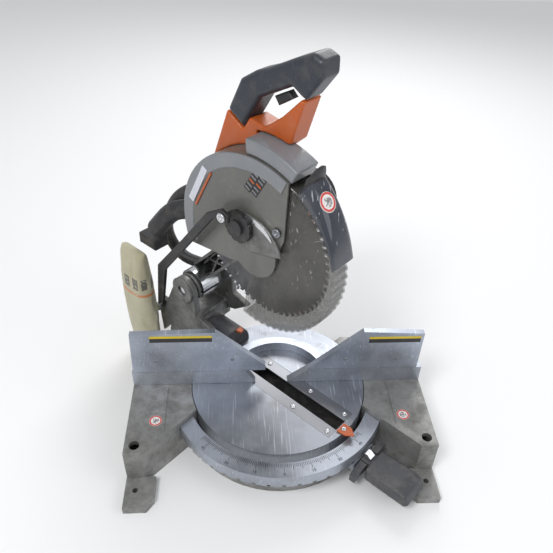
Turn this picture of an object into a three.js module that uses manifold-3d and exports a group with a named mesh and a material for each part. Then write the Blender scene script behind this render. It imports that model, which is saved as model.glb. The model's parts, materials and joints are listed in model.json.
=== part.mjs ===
// Dual-bevel compound miter saw. Millimetres, +Z up, bench at z = 0.
// The fence face is the plane y = 0 and the table turns about the z axis.
// The "saw" group holds the turntable and all that turns with it: its x is "across" the
// blade (w), its -y is "forward" along the cut (s), and it is turned to the rest miter angle.
import * as THREE from "three";
import { mergeVertices } from "three/addons/utils/BufferGeometryUtils.js";
import Module from "manifold-3d";

const wasm = await Module();
wasm.setup();

// Driving dimensions.
const GAP = 0.4;
const TABLE_TOP = 78;
const TABLE_RADIUS = 150;
const REST_MITER = 45;
const WING_REACH = 251;
const WING_FRONT = -141;
const WING_BACK = 25;
const FOOT_HEIGHT = 14;
const FENCE_SPLIT = 110;
const FENCE_THICK = 14;
const SCALE_INNER = 158.7;
const SCALE_OUTER = 185.8;
const ARBOR = { s: -42, z: 356 };
const CHOP_PIVOT = { s: -190, z: 205 };
const LINK_PIVOT = { s: -255, z: 135 };
const CRANK = { s: -60, z: 395 };
const CRANK_PIN = { s: -77, z: 410 };
const HOLD_DOWN = { s: -178, z: 152 };
const LOCK_OFF = { s: -70, z: 592 };
const MOTOR_AXIS = { s: -82, z: 356 };
const BLADE_RADIUS = 127;
const KERF_HALF = 12;
const TROUGH_HALF = 26;
const GEAR_MODULE = 1.5;
const DRIVE_TEETH = 40;
const PINION_TEETH = 12;

// Shapes.
const outline = (points) => new THREE.Shape(points.map(([a, b]) => new THREE.Vector2(a, b)));

function arc(cx, cy, radius, from, to, steps) {
  const points = [];
  for (let i = 0; i <= steps; i += 1) {
    const angle = THREE.MathUtils.degToRad(from + ((to - from) * i) / steps);
    points.push([cx + radius * Math.cos(angle), cy + radius * Math.sin(angle)]);
  }
  return points;
}

const band = (cx, cy, inner, outer, from, to, steps) => [
  ...arc(cx, cy, outer, from, to, steps),
  ...arc(cx, cy, inner, to, from, steps),
];

// A plan outline (x, y) raised from z0 to z1.
function slab(points, z0, z1, round = 0) {
  const geometry = new THREE.ExtrudeGeometry(outline(points), {
    depth: z1 - z0 - 2 * round,
    bevelEnabled: round > 0,
    bevelThickness: round,
    bevelSize: round,
    bevelOffset: -round,
    bevelSegments: 1,
  });
  return geometry.translate(0, 0, z0 + round);
}

// A side outline (s, z) spanning w0 to w1 across.
function plate(points, w0, w1, round = 0) {
  const axes = new THREE.Matrix4().makeBasis(
    new THREE.Vector3(0, -1, 0),
    new THREE.Vector3(0, 0, 1),
    new THREE.Vector3(-1, 0, 0),
  );
  return slab(points, -w1, -w0, round).applyMatrix4(axes);
}

// A fence outline (x, z) spanning y0 to y1.
const wall = (points, y0, y1) => slab(points, -y1, -y0).rotateX(Math.PI / 2);

const disc = (x, y, radius, z0, z1, sides = 24) =>
  new THREE.CylinderGeometry(radius, radius, z1 - z0, sides)
    .rotateX(Math.PI / 2)
    .translate(x, y, (z0 + z1) / 2);

// A round bar across the blade.
const rod = (s, z, radius, w0, w1, sides = 24) =>
  new THREE.CylinderGeometry(radius, radius, w1 - w0, sides)
    .rotateZ(Math.PI / 2)
    .translate((w0 + w1) / 2, -s, z);

// A round bar along the cut.
const spindle = (w, z, radius, s0, s1, sides = 24) =>
  new THREE.CylinderGeometry(radius, radius, s1 - s0, sides).translate(w, -(s0 + s1) / 2, z);

const box = (x0, x1, y0, y1, z0, z1) =>
  new THREE.BoxGeometry(x1 - x0, y1 - y0, z1 - z0).translate((x0 + x1) / 2, (y0 + y1) / 2, (z0 + z1) / 2);

const brick = (w0, w1, s0, s1, z0, z1) => box(w0, w1, -s1, -s0, z0, z1);

// A round section swept along points given as [w, s, z].
function bar(points, radius) {
  const spots = points.map(([w, s, z]) => new THREE.Vector3(w, -s, z));
  const curve = new THREE.CatmullRomCurve3(spots, false, "centripetal");
  const section = outline(arc(0, 0, radius, 0, 324, 9));
  return new THREE.ExtrudeGeometry(section, { steps: 5 * (points.length - 1), extrudePath: curve });
}

// Booleans.
function solid(geometry) {
  const bare = geometry.clone();
  bare.deleteAttribute("normal");
  bare.deleteAttribute("uv");
  const merged = mergeVertices(bare, 1e-4);
  const vertProperties = Float32Array.from(merged.attributes.position.array);
  const triVerts = Uint32Array.from(merged.index.array);
  return new wasm.Manifold(new wasm.Mesh({ numProp: 3, vertProperties, triVerts }));
}

function geometryOf(manifold) {
  const mesh = manifold.getMesh();
  const geometry = new THREE.BufferGeometry();
  geometry.setAttribute("position", new THREE.BufferAttribute(mesh.vertProperties, 3));
  geometry.setIndex(new THREE.BufferAttribute(mesh.triVerts, 1));
  return geometry;
}

const join = (...parts) => geometryOf(parts.map(solid).reduce((sum, part) => sum.add(part)));
const cut = (body, ...tools) =>
  geometryOf(tools.map(solid).reduce((left, tool) => left.subtract(tool), solid(body)));

// Finishes.
const finish = (color, roughness, metalness) => ({ color, roughness, metalness });
const CAST = finish(0x8a8a86, 0.6, 0.7);
const MACHINED = finish(0xb8bcc4, 0.35, 0.9);
const STEEL = finish(0x9da1a8, 0.35, 1);
const BRIGHT = finish(0xd8dade, 0.2, 1);
const BLACK = finish(0x26272a, 0.6, 0);
const CHARCOAL = finish(0x4b4b50, 0.6, 0);
const GREY_PAINT = finish(0x75756f, 0.45, 0.1);
const ORANGE = finish(0xc85f14, 0.4, 0);
const RUBBER = finish(0x2f343d, 0.8, 0);
const SMOKED = finish(0x5c5a55, 0.2, 0);
const KHAKI = finish(0xbeb991, 0.9, 0);
const COPPER = finish(0xa8642c, 0.4, 0.9);

const group = new THREE.Group();
const saw = new THREE.Group();
saw.rotation.z = THREE.MathUtils.degToRad(REST_MITER);
group.add(saw);

function put(parent, name, geometry, look) {
  const mesh = new THREE.Mesh(geometry, new THREE.MeshStandardMaterial(look));
  mesh.name = name;
  parent.add(mesh);
}

// Base.
const wingPlan = (side, gap) => [
  [side * WING_REACH, WING_BACK],
  [side * WING_REACH, WING_FRONT - gap],
  [side * (223 - gap), WING_FRONT - gap],
  [side * (146 - gap), -62 - gap],
  [side * 60, WING_BACK],
];

const mirrorPoints = (side, points) => points.map(([x, y]) => [side * x, y]);

function wing(side) {
  const body = slab(wingPlan(side, 0), 0, TABLE_TOP);
  const pocket = slab(
    mirrorPoints(side, [[243, 17], [243, -133], [227, -133], [164, -66], [164, 17]]),
    -1,
    TABLE_TOP - 9,
  );
  const groove = box(side * 190 - 1, side * 190 + 1, -97, -5, TABLE_TOP - 1, TABLE_TOP + 1);
  const clampHole = disc(side * 235, -125, 8.5, TABLE_TOP - 10, TABLE_TOP + 1, 20);
  return cut(body, pocket, groove, clampHole);
}

function foot(side) {
  const front = slab(
    mirrorPoints(side, [[252, -139], [252, -195], [216, -195], [205, -180], [205, -139]]),
    0,
    FOOT_HEIGHT,
  );
  const hole = disc(side * 235.6, -163.5, 4.5, -1, FOOT_HEIGHT + 1, 16);
  return cut(front, hole);
}

const rearFoot = (side) =>
  slab(mirrorPoints(side, [[60, 100], [195, 20], [210, 30], [176, 176], [140, 176]]), 0, FOOT_HEIGHT);

function baseCasting() {
  const floor = disc(0, 0, 165, 0, FOOT_HEIGHT, 48);
  const hub = disc(0, 0, 34, 0, 25.6, 32);
  const drum = slab(band(0, 0, 136, 146, -8, 188, 32), 0, 45.6);
  const bolt = disc(0, 0, 8.4, FOOT_HEIGHT, 60, 20);
  const tableRoom = disc(0, 0, TABLE_RADIUS + 1.3, FOOT_HEIGHT + 2, TABLE_TOP + 1, 64);
  const shell = join(wing(-1), wing(1), foot(-1), foot(1), rearFoot(-1), rearFoot(1));
  return cut(join(cut(shell, tableRoom), floor, hub, drum), bolt);
}

function miterScale() {
  const top = slab(band(0, 0, SCALE_INNER, SCALE_OUTER, -160, -20, 48), 62, 69);
  const skirt = slab(band(0, 0, 180, SCALE_OUTER, -160, -20, 48), 45, 64);
  const notches = [];
  for (let turn = -150; turn <= -30; turn += 7.5) {
    notches.push(box(176, 190, -3, 3, 44, 49).rotateZ(THREE.MathUtils.degToRad(turn)));
  }
  const wings = [-1, 1].map((side) => slab(wingPlan(side, 0.5), 30, 80));
  return cut(join(top, skirt), ...notches, ...wings);
}

function fenceFixed() {
  const top = FENCE_SPLIT - GAP;
  const low = TABLE_TOP + GAP;
  const left = wall([[-WING_REACH, low], [-40, low], [-58, top], [-WING_REACH, top]], 0, FENCE_THICK);
  const right = wall([[16, low], [WING_REACH, low], [WING_REACH, top], [54, top]], 0, FENCE_THICK);
  const bridge = slab(band(0, 0, 79, 94, 4, 176, 24), low, 97);
  return join(left, right, bridge);
}

const FENCE_LEFT = [
  [-249, FENCE_SPLIT],
  [-246, 197],
  [-107, 200],
  [-23, 121],
  [-23, FENCE_SPLIT],
];
const FENCE_RIGHT = [
  [50, FENCE_SPLIT],
  [140, 196],
  [243, 190],
  [242, FENCE_SPLIT],
];

function fenceSlide(face, inner, outer, knobX) {
  const tail = box(inner, outer, FENCE_THICK + GAP, FENCE_THICK + 7, 88, FENCE_SPLIT + 8);
  const shoe = box(inner, outer, 4, FENCE_THICK + 7, FENCE_SPLIT, FENCE_SPLIT + 8);
  const stud = disc(knobX, -97, 3.4, FENCE_THICK - 2, FENCE_THICK + 9, 12).rotateX(-Math.PI / 2);
  return cut(join(wall(face, 0, 10), shoe, tail), stud);
}

function clampKnob(x) {
  const start = FENCE_THICK + 7 + GAP;
  const upright = [
    [0, FENCE_THICK + GAP],
    [2.9, FENCE_THICK + GAP],
    [2.9, start],
    [11, start],
    [13, start + 4],
    [13, start + 16],
    [10, start + 20],
    [0, start + 20],
  ];
  const shape = upright.map(([r, y]) => new THREE.Vector2(r, y));
  return new THREE.LatheGeometry(shape, 12).translate(x, 0, 97);
}

// Turntable group.
function turntable() {
  const top = disc(0, 0, TABLE_RADIUS, TABLE_TOP - 9, TABLE_TOP, 64);
  const skirt = cut(
    disc(0, 0, TABLE_RADIUS, 46, TABLE_TOP - 8, 64),
    disc(0, 0, TABLE_RADIUS - 8, 45, TABLE_TOP - 8.5, 48),
  );
  const trough = brick(-38, 38, -76, 146, 46, TABLE_TOP - 2);
  const hub = disc(0, 0, 40, 26, 52, 32);
  const arm = brick(-24, 30, 20, 187, 26, 43);
  const riser = brick(-24, 30, 120, 147, 40, 50);
  const neck = brick(-30, 30, -172, -130, 56, TABLE_TOP);
  const body = join(top, skirt, trough, hub, arm, riser, neck);
  return cut(
    body,
    brick(-TROUGH_HALF, TROUGH_HALF, -62, 138, 50, TABLE_TOP + 1),
    brick(-33, 33, -62, 138, TABLE_TOP - 3.8, TABLE_TOP + 1),
    disc(0, 0, 8.4, 20, 60, 20),
    disc(0, 0, 14, 38, 60, 20),
    spindle(0, TABLE_TOP, 10.4, -180, -112, 20),
  );
}

function kerfDuct() {
  const side = TROUGH_HALF - GAP;
  const body = brick(-side, side, -61.6, 137.6, 50.4, TABLE_TOP - 4.2);
  const inside = brick(-side + 3, side - 3, -59, 135, 54, TABLE_TOP);
  const holes = [];
  for (let s = -40; s <= 120; s += 20) {
    holes.push(rod(s, 64, 6, -side - 1, side + 1, 12));
  }
  return cut(body, inside, ...holes);
}

const throatPlate = (side) =>
  brick(
    Math.min(side * KERF_HALF, side * 32.6),
    Math.max(side * KERF_HALF, side * 32.6),
    -61.6,
    137.6,
    TABLE_TOP - 3.4,
    TABLE_TOP - 0.2,
  );

const pivotBolt = () => join(disc(0, 0, 7.8, 14.4, 42, 20), disc(0, 0, 12.5, 38.4, 46, 6));

function miterPointer() {
  const flag = slab([[-14, -140], [6, -140], [6, -156], [-3, -167], [-12, -156]], TABLE_TOP + GAP, TABLE_TOP + 3);
  return flag;
}

function controlArm() {
  const shell = plate(
    [[206, 20], [284, 22], [288, 30], [282, 44], [262, 48], [206, 46]],
    -22,
    32,
    4,
  );
  const root = brick(-7, 17, 187.6, 208, 22, 44);
  return join(shell, root);
}

const detentPaddle = (w0, w1) => slab([[w0, -202], [w0, -192], [w1, -189], [w1, -202]], 28, 43);

function lockLever() {
  const pad = plate([[191, 46.2], [203, 46.2], [203, 49], [196, 54], [191, 54]], -1, 11);
  return pad;
}

// Bevel joint.
function bevelHousing() {
  const drum = spindle(0, TABLE_TOP, 46, -172, -114, 36);
  const lower = brick(-60, 60, -180, -100, 20, TABLE_TOP + GAP);
  const bore = spindle(0, TABLE_TOP, 10.4, -180, -100, 20);
  return cut(drum, lower, bore);
}

const bevelPin = () => spindle(0, TABLE_TOP, 9.8, -243, -117, 20);

function bevelPointer() {
  const flag = slab([[10, 114], [22, 114], [20, 104], [12, 104]], TABLE_TOP + 41, TABLE_TOP + 45);
  return flag;
}

function bevelArm() {
  const hub = spindle(0, TABLE_TOP, 46, -236, -172.6, 36);
  const block = brick(-34, 60, -234, -178, TABLE_TOP + 20, TABLE_TOP + 58);
  const ear = [[-234, 98], [-262, 62], [-268, 118], [-264, 146], [-244, 146]];
  const heel = [[-234, 98], [-238, 150]];
  const cheek = (rear) => [
    ...rear,
    ...arc(CHOP_PIVOT.s, CHOP_PIVOT.z, 25, 170, 10, 8),
    [-160, 160],
    [-122, 150],
    [-156, 122],
    [-175, 116],
    [-184, 98],
  ];
  const left = plate(cheek(ear), -42, -30);
  const right = plate(cheek(heel), 49, 60);
  const pinHole = rod(CHOP_PIVOT.s, CHOP_PIVOT.z, 8.4, -50, 70, 20);
  const linkHole = rod(LINK_PIVOT.s, LINK_PIVOT.z, 4.4, -50, -20, 12);
  const bore = spindle(0, TABLE_TOP, 10.3, -260, -160, 20);
  const lockBore = rod(HOLD_DOWN.s, HOLD_DOWN.z, 5.5, 45, 65, 16);
  return cut(join(hub, block, left, right), pinHole, linkHole, bore, lockBore);
}

function bevelLever() {
  const boss = spindle(0, TABLE_TOP, 15, -256, -243.4, 20);
  const grip = bar([[0, -250, 78], [30, -252, 64], [78, -256, 54]], 6);
  return join(boss, grip);
}

const chopPin = () => rod(CHOP_PIVOT.s, CHOP_PIVOT.z, 8, -43.4, 64, 20);

function chopSpring() {
  const ring = band(CHOP_PIVOT.s, CHOP_PIVOT.z, 24.6, 28.4, 0, 350, 28);
  return plate(ring, -20, 16);
}

const holdDownPin = () => join(
  rod(HOLD_DOWN.s, HOLD_DOWN.z, 5, 48, 78, 16),
  rod(HOLD_DOWN.s, HOLD_DOWN.z, 8, 76, 84, 16),
);

// Saw head.
function sawArm() {
  const reach = new THREE.Vector2(ARBOR.s - CHOP_PIVOT.s, ARBOR.z - CHOP_PIVOT.z).normalize();
  const side = [-reach.y, reach.x];
  const beside = (at, distance) => [at.s + side[0] * distance, at.z + side[1] * distance];
  const web = [
    beside(CHOP_PIVOT, 24),
    beside(ARBOR, 62),
    beside(ARBOR, -46),
    beside(CHOP_PIVOT, -24),
  ];
  const body = join(
    plate(web, 26, 46),
    rod(CHOP_PIVOT.s, CHOP_PIVOT.z, 24, -27, 46, 28),
    rod(ARBOR.s, ARBOR.z, 54, 26, 46, 36),
  );
  const tower = plate([[-150, 400], [-66, 400], [-66, 452], [-146, 452]], 26, 46);
  const link = plate([[-200, 380], [-96, 406], [-60, 380], [-120, 300], [-200, 350]], 26, 46);
  const bearingSeat = rod(ARBOR.s, ARBOR.z, 14.4, 20, 60, 24);
  const pinBore = rod(CHOP_PIVOT.s, CHOP_PIVOT.z, 8.4, -50, 70, 20);
  const springRoom = rod(CHOP_PIVOT.s, CHOP_PIVOT.z, 40, -21, 17, 28);
  const springCore = rod(CHOP_PIVOT.s, CHOP_PIVOT.z, 20, -27, 46, 24);
  const shell = cut(join(body, tower, link), springRoom);
  return cut(join(shell, springCore), bearingSeat, pinBore);
}

const UPPER_OUTER = 151;
const UPPER_INNER = 148;
const LOWER_OUTER = 146.5;
const LOWER_INNER = 143;
const around = (inner, outer, from, to, steps) =>
  band(ARBOR.s, ARBOR.z, inner, outer, from, to, steps);

function upperGuard() {
  const rim = plate(around(UPPER_INNER, UPPER_OUTER, 65, 200, 30), -24, 24);
  const face = [
    ...arc(ARBOR.s, ARBOR.z, UPPER_OUTER, 65, 200, 30),
    [-86, 316],
    ...arc(ARBOR.s, ARBOR.z, 46, 230, 370, 8),
    [18, 400],
  ];
  const left = plate(face, -24, -21.4);
  const right = cut(plate(face, 21.4, 24), rod(ARBOR.s, ARBOR.z, 26, 15, 30, 28));
  const boss = rod(ARBOR.s, ARBOR.z, 28.6, -22, -17, 28);
  return join(rim, left, right, boss);
}

function lowerGuard() {
  const rim = plate(around(LOWER_INNER, LOWER_OUTER, -100, 68, 36), -19.4, 19.4);
  const left = plate(around(30, LOWER_OUTER, -100, 68, 36), -19.4, -17.2);
  const right = plate(around(108, LOWER_OUTER, -100, 68, 36), 17.2, 19.4);
  return join(rim, left, right);
}

function guardNose() {
  const shell = plate(around(148, 168, 16, 56, 10), -24, 24, 2);
  const lip = plate(around(160, 196, 55, 59, 1), -24, 24);
  return join(shell, lip);
}

function blade() {
  const points = [];
  const teeth = 40;
  for (let i = 0; i < teeth; i += 1) {
    const turn = (2 * Math.PI * i) / teeth;
    const tip = turn + (0.3 * Math.PI) / teeth;
    points.push([(BLADE_RADIUS - 7) * Math.cos(turn), (BLADE_RADIUS - 7) * Math.sin(turn)]);
    points.push([BLADE_RADIUS * Math.cos(tip), BLADE_RADIUS * Math.sin(tip)]);
  }
  const shifted = points.map(([s, z]) => [s + ARBOR.s, z + ARBOR.z]).reverse();
  return cut(plate(shifted, -1.2, 1.2), rod(ARBOR.s, ARBOR.z, 8.3, -5, 5, 20));
}

const arborShaft = () => rod(ARBOR.s, ARBOR.z, 7.8, -7, 63, 20);

const flange = (w0, w1) =>
  cut(rod(ARBOR.s, ARBOR.z, 22, w0, w1, 28), rod(ARBOR.s, ARBOR.z, 8.3, w0 - 1, w1 + 1, 20));

const arborBolt = () =>
  join(rod(ARBOR.s, ARBOR.z, 13, -9.4, -7.4, 24), rod(ARBOR.s, ARBOR.z, 9, -15, -9, 6));

const bearing = (axis, outer, bore, w0, w1) =>
  cut(rod(axis.s, axis.z, outer, w0, w1, 24), rod(axis.s, axis.z, bore, w0 - 1, w1 + 1, 20));

function boltCover() {
  const shell = plate(around(0.1, 62, 15, 150, 12), -30, -24.4, 1.5);
  return shell;
}

// Gears between the motor and the arbor.
function gear(axis, teeth, phase, w0, w1, bore) {
  const pitch = (GEAR_MODULE * teeth) / 2;
  const points = [];
  for (let i = 0; i < teeth; i += 1) {
    const centre = (2 * Math.PI * (i + phase)) / teeth;
    const step = Math.PI / teeth;
    [
      [-0.72, pitch - 1.6],
      [-0.25, pitch + 1.2],
      [0.25, pitch + 1.2],
      [0.72, pitch - 1.6],
    ].forEach(([shift, radius]) => {
      const angle = centre + shift * step;
      points.push([axis.s + radius * Math.cos(angle), axis.z + radius * Math.sin(angle)]);
    });
  }
  return cut(plate(points, w0, w1), rod(axis.s, axis.z, bore, w0 - 1, w1 + 1, 20));
}

const caseOutline = (margin) => [
  ...arc(ARBOR.s, ARBOR.z, 36 + margin, -75, 75, 12),
  ...arc(MOTOR_AXIS.s, MOTOR_AXIS.z, 22 + margin, 90, 270, 10),
];

function gearCase() {
  const shell = plate(caseOutline(6), 46.4, 68, 1.5);
  const cavity = plate(caseOutline(0), 40, 64);
  const motorHole = rod(MOTOR_AXIS.s, MOTOR_AXIS.z, 10.5, 60, 70, 20);
  return cut(shell, cavity, motorHole);
}

function motorHousing() {
  const shell = rod(MOTOR_AXIS.s, MOTOR_AXIS.z, 44, 68.4, 158, 32);
  const inside = rod(MOTOR_AXIS.s, MOTOR_AXIS.z, 40, 73, 160, 32);
  const front = rod(MOTOR_AXIS.s, MOTOR_AXIS.z, 10.5, 60, 80, 20);
  const brushBore = disc(140, -MOTOR_AXIS.s, 7.4, MOTOR_AXIS.z - 60, MOTOR_AXIS.z + 60, 16);
  return cut(shell, inside, front, brushBore);
}

function motorEndCap() {
  const cap = cut(
    rod(MOTOR_AXIS.s, MOTOR_AXIS.z, 44, 158.4, 178, 32),
    rod(MOTOR_AXIS.s, MOTOR_AXIS.z, 39, 157, 173, 32),
  );
  const slots = [-24, -12, 0, 12, 24].map((rise) =>
    brick(170, 180, MOTOR_AXIS.s - 20, MOTOR_AXIS.s + 20, MOTOR_AXIS.z + rise - 2, MOTOR_AXIS.z + rise + 2),
  );
  return cut(cap, ...slots);
}

function armature() {
  const core = rod(MOTOR_AXIS.s, MOTOR_AXIS.z, 24, 82, 126, 24);
  const commutator = rod(MOTOR_AXIS.s, MOTOR_AXIS.z, 13, 126, 150, 24);
  const shaft = rod(MOTOR_AXIS.s, MOTOR_AXIS.z, 5.6, 47, 168, 16);
  return join(core, commutator, shaft);
}

function fieldCoil() {
  return cut(
    rod(MOTOR_AXIS.s, MOTOR_AXIS.z, 39.4, 84, 124, 32),
    rod(MOTOR_AXIS.s, MOTOR_AXIS.z, 26, 80, 130, 28),
  );
}

function brushCap(turn) {
  const z = MOTOR_AXIS.z + turn * 30;
  return disc(140, -MOTOR_AXIS.s, 7, Math.min(z, z + turn * 17), Math.max(z, z + turn * 17), 12);
}

// Handles.
function handleShell() {
  const body = [
    [-158, 453],
    [-123.8, 540.4],
    [-92.8, 522],
    [-80.4, 541.8],
    [-52, 537],
    [-22, 561],
    [8, 592],
    [14, 590],
    [-5, 528],
    [-30, 505],
    [-60, 480],
    [-66, 453],
  ];
  const guardRoom = rod(ARBOR.s, ARBOR.z, UPPER_OUTER + GAP, -60, 24.6, 48);
  const coverRoom = plate(around(100, 174, 58, 98, 10), -60, 24.8);
  return cut(plate(body, 8, 45, 2), guardRoom, coverRoom);
}

function handleGrip() {
  const body = [
    [-123, 542],
    [-98, 591],
    [-72, 608],
    [-50, 617],
    [-10, 638],
    [22, 653],
    [39, 647],
    [40, 627],
    [15.2, 592.8],
    [8, 594.8],
    [-8, 604],
    [-62, 574],
    [-80, 544],
    [-92, 523.8],
  ];
  const slot = plate([[-47, 575], [-21, 590], [-30, 606], [-56, 591]], 19, 34);
  return cut(plate(body, 7, 46, 5), slot, rod(LOCK_OFF.s, LOCK_OFF.z, 6.5, 36, 50, 16));
}

const trigger = () => plate([[-46, 579], [-23, 592], [-14, 584], [-38, 568]], 20, 33, 1.5);

const lockOffButton = () => rod(LOCK_OFF.s, LOCK_OFF.z, 6, 40.5, 51, 16);

function carryHandle() {
  return bar(
    [
      [34, -207, 366],
      [26, -220, 368],
      [18, -262, 335],
      [18, -298, 258],
      [18, -284, 228],
      [20, -256, 212],
      [32, -222, 206],
    ],
    11,
  );
}

// Guard linkage.
function guardLink() {
  const bend = [
    [-262, 132],
    [-254, 128],
    [-246, 136],
    [-226, 234],
    [-96, 400],
    [-66, 404],
    [-66, 416],
    [-80, 422],
    [-112, 402],
    [-172, 326],
    [-246, 236],
    [-258, 146],
  ];
  const strip = cut(plate(bend, -51, -44, 1), rod(LINK_PIVOT.s, LINK_PIVOT.z, 4.4, -60, -40, 12));
  return join(strip, rod(CRANK_PIN.s, CRANK_PIN.z, 7, -51, -43, 16));
}

const linkPin = () => join(
  rod(LINK_PIVOT.s, LINK_PIVOT.z, 4, -52, -26, 12),
  rod(LINK_PIVOT.s, LINK_PIVOT.z, 8, -55, -51.4, 16),
);

function guardCrank() {
  const wheel = rod(CRANK.s, CRANK.z, 26, -38, -31, 24);
  const notches = [];
  for (let turn = 0; turn < 360; turn += 30) {
    const angle = THREE.MathUtils.degToRad(turn);
    notches.push(rod(CRANK.s + 27 * Math.cos(angle), CRANK.z + 27 * Math.sin(angle), 3, -39, -30, 8));
  }
  return cut(join(wheel, rod(CRANK.s, CRANK.z, 12, -42, -37, 16)), ...notches);
}

// Dust port and front block.
function frontCover() {
  const face = around(UPPER_OUTER + GAP, UPPER_OUTER + 22, 64, 96, 8);
  return plate(face, -22, 24, 2);
}

function dustPort() {
  const port = bar([[0, -182, 356], [-20, -222, 344], [-34, -262, 296]], 17);
  const root = rod(ARBOR.s, ARBOR.z, UPPER_OUTER + GAP, -60, 60, 40);
  const open = bar([[0, -170, 356], [-20, -222, 344], [-38, -276, 270]], 13);
  return cut(port, root, open);
}

function bagCollar() {
  return plate([[-292, 262], [-250, 262], [-250, 282], [-292, 282]], -50, -18, 2);
}

const dustBag = () => plate(
  [[-322, 28], [-268, 24], [-250, 60], [-246, 120], [-262, 258], [-322, 258], [-334, 150]],
  -76,
  -56,
  6,
);

const cordGland = () => join(
  rod(-128, 478, 8, 45.4, 58, 16),
  rod(-128, 478, 5, 57, 68, 12),
);

// The assembly.
put(group, "base_casting", baseCasting(), CAST);
put(group, "miter_scale", miterScale(), MACHINED);
put(group, "fence_fixed", fenceFixed(), MACHINED);
put(group, "fence_slide_left", fenceSlide(FENCE_LEFT, -244, -100, -200), MACHINED);
put(group, "fence_slide_right", fenceSlide(FENCE_RIGHT, 100, 240, 200), MACHINED);
put(group, "fence_clamp_knob_left", clampKnob(-200), BLACK);
put(group, "fence_clamp_knob_right", clampKnob(200), BLACK);

put(saw, "turntable", turntable(), MACHINED);
put(saw, "kerf_duct", kerfDuct(), BLACK);
put(saw, "throat_plate_left", throatPlate(-1), STEEL);
put(saw, "throat_plate_right", throatPlate(1), STEEL);
put(saw, "turntable_pivot_bolt", pivotBolt(), STEEL);
put(saw, "miter_pointer", miterPointer(), ORANGE);
put(saw, "control_arm", controlArm(), CHARCOAL);
put(saw, "detent_paddle_left", detentPaddle(-42, -9), CHARCOAL);
put(saw, "detent_paddle_right", detentPaddle(19, 44), CHARCOAL);
put(saw, "miter_lock_lever", lockLever(), BRIGHT);
put(saw, "bevel_housing", bevelHousing(), CHARCOAL);
put(saw, "bevel_pivot_pin", bevelPin(), STEEL);
put(saw, "bevel_pointer", bevelPointer(), ORANGE);

put(saw, "bevel_arm", bevelArm(), CAST);
put(saw, "bevel_lock_lever", bevelLever(), BLACK);
put(saw, "chop_pivot_pin", chopPin(), STEEL);
put(saw, "chop_return_spring", chopSpring(), STEEL);
put(saw, "hold_down_pin", holdDownPin(), BRIGHT);
put(saw, "guard_link_pin", linkPin(), STEEL);
put(saw, "guard_link", guardLink(), BLACK);

put(saw, "saw_arm", sawArm(), CAST);
put(saw, "upper_guard", upperGuard(), GREY_PAINT);
put(saw, "guard_nose", guardNose(), SMOKED);
put(saw, "lower_guard", lowerGuard(), SMOKED);
put(saw, "guard_crank", guardCrank(), BLACK);
put(saw, "blade", blade(), STEEL);
put(saw, "arbor_shaft", arborShaft(), STEEL);
put(saw, "flange_inner", flange(1.6, 7), STEEL);
put(saw, "flange_outer", flange(-7, -1.6), STEEL);
put(saw, "arbor_bolt", arborBolt(), BRIGHT);
put(saw, "arbor_bearing", bearing(ARBOR, 14, 8.2, 28, 44), STEEL);
put(saw, "blade_bolt_cover", boltCover(), CAST);
put(saw, "drive_gear", gear(ARBOR, DRIVE_TEETH, 0, 50, 60, 8.2), STEEL);
put(saw, "pinion", gear(MOTOR_AXIS, PINION_TEETH, 0.5, 50, 60, 6), STEEL);
put(saw, "gear_case", gearCase(), GREY_PAINT);
put(saw, "motor_housing", motorHousing(), ORANGE);
put(saw, "motor_end_cap", motorEndCap(), BLACK);
put(saw, "armature", armature(), COPPER);
put(saw, "field_coil", fieldCoil(), COPPER);
put(saw, "brush_cap_top", brushCap(1), BLACK);
put(saw, "brush_cap_bottom", brushCap(-1), BLACK);
put(saw, "handle_shell", handleShell(), ORANGE);
put(saw, "handle_grip", handleGrip(), RUBBER);
put(saw, "trigger", trigger(), BLACK);
put(saw, "lock_off_button", lockOffButton(), ORANGE);
put(saw, "carry_handle", carryHandle(), BLACK);
put(saw, "front_cover", frontCover(), GREY_PAINT);
put(saw, "dust_port", dustPort(), BLACK);
put(saw, "bag_collar", bagCollar(), BLACK);
put(saw, "dust_bag", dustBag(), KHAKI);
put(saw, "cord_gland", cordGland(), BLACK);

export default group;
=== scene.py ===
"""A compound miter saw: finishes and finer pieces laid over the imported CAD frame."""
import json
import math

import bpy
import numpy as np
from mathutils import Matrix, Vector


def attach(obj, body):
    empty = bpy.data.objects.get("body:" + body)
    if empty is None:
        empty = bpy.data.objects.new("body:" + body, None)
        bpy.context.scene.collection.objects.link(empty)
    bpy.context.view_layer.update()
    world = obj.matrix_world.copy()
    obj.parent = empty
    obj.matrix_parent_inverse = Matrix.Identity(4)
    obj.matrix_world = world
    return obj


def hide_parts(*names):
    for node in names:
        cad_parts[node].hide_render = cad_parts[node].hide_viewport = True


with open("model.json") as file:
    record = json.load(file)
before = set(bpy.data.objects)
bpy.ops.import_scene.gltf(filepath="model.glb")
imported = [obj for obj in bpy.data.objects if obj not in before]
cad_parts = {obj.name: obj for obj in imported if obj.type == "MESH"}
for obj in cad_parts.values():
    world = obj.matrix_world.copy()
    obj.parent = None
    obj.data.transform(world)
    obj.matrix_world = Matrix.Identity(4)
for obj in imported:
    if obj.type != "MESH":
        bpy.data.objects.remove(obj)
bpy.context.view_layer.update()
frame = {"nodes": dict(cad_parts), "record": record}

MM = 0.001
TURN = math.pi / 4
AHEAD = np.array([math.sin(TURN), -math.cos(TURN), 0.0])
ACROSS = np.array([math.cos(TURN), math.sin(TURN), 0.0])
UP = np.array([0.0, 0.0, 1.0])
ARBOR = (-42.0, 356.0)
BLADE_RADIUS = 127.0
TABLE_TOP = 78.0
RING = (158.7, 185.8, 69.0)


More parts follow.
